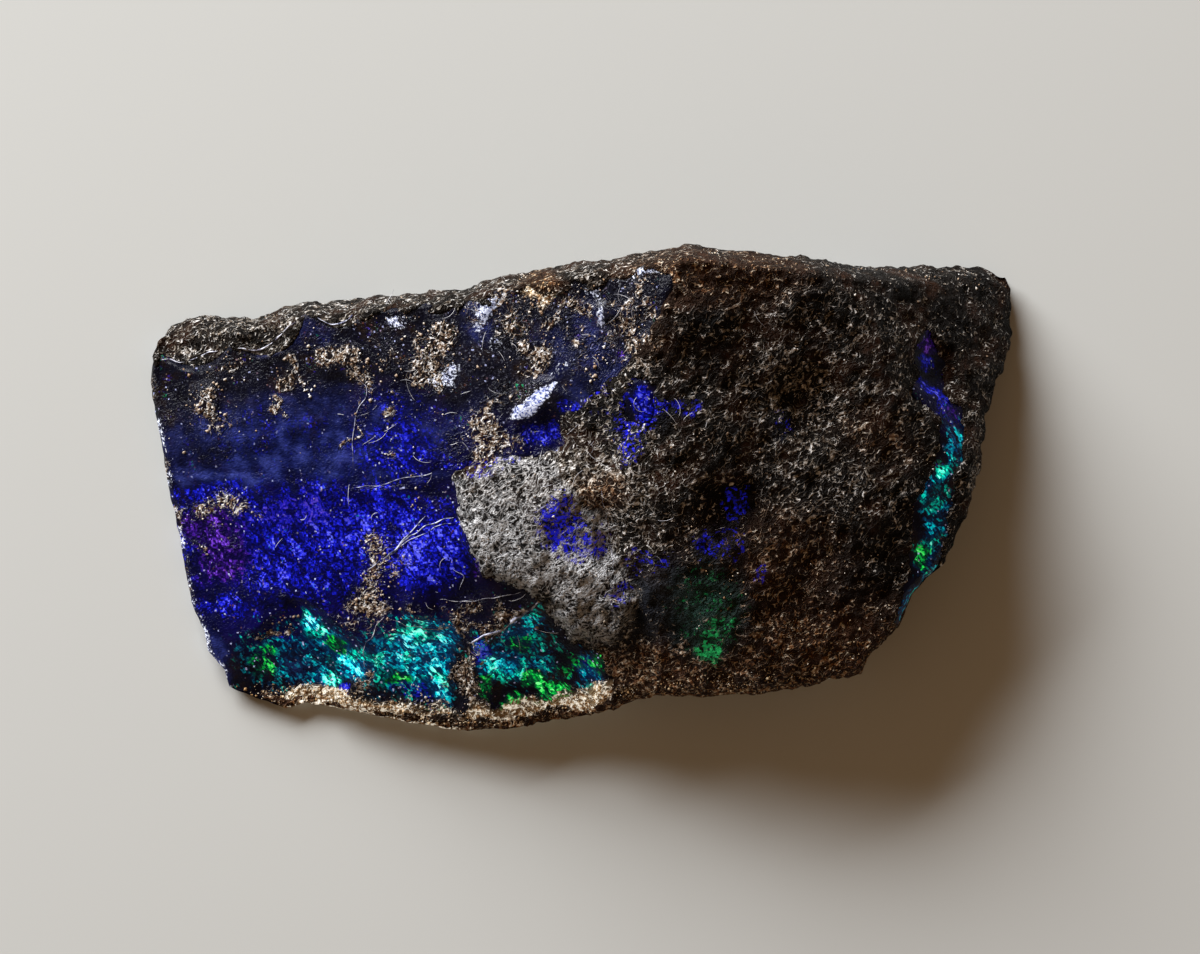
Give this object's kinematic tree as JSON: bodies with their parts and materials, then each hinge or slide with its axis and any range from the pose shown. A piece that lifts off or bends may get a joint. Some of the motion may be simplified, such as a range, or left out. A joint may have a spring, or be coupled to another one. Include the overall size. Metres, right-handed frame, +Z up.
{
  "type": "rough boulder opal",
  "caption": "Rough broken piece of dark ironstone with a polished-looking seam of blue and green opal on its sloping left face, resting on a flat underside.",
  "frame": {"origin": "centre of the bounding box at the resting face", "axes": "+X along the stone's length towards its blunt dark end, +Y towards the straight back edge, +Z up from the resting face"},
  "size_m": [0.045, 0.0252, 0.0116],
  "materials": {
    "ironstone": "rough, broken, dark brown with tan crust",
    "opal": "glassy, deep blue with cyan and green play of colour"
  },
  "bodies": {
    "root": {"boulder_opal": "ironstone"}
  },
  "joints": []
}
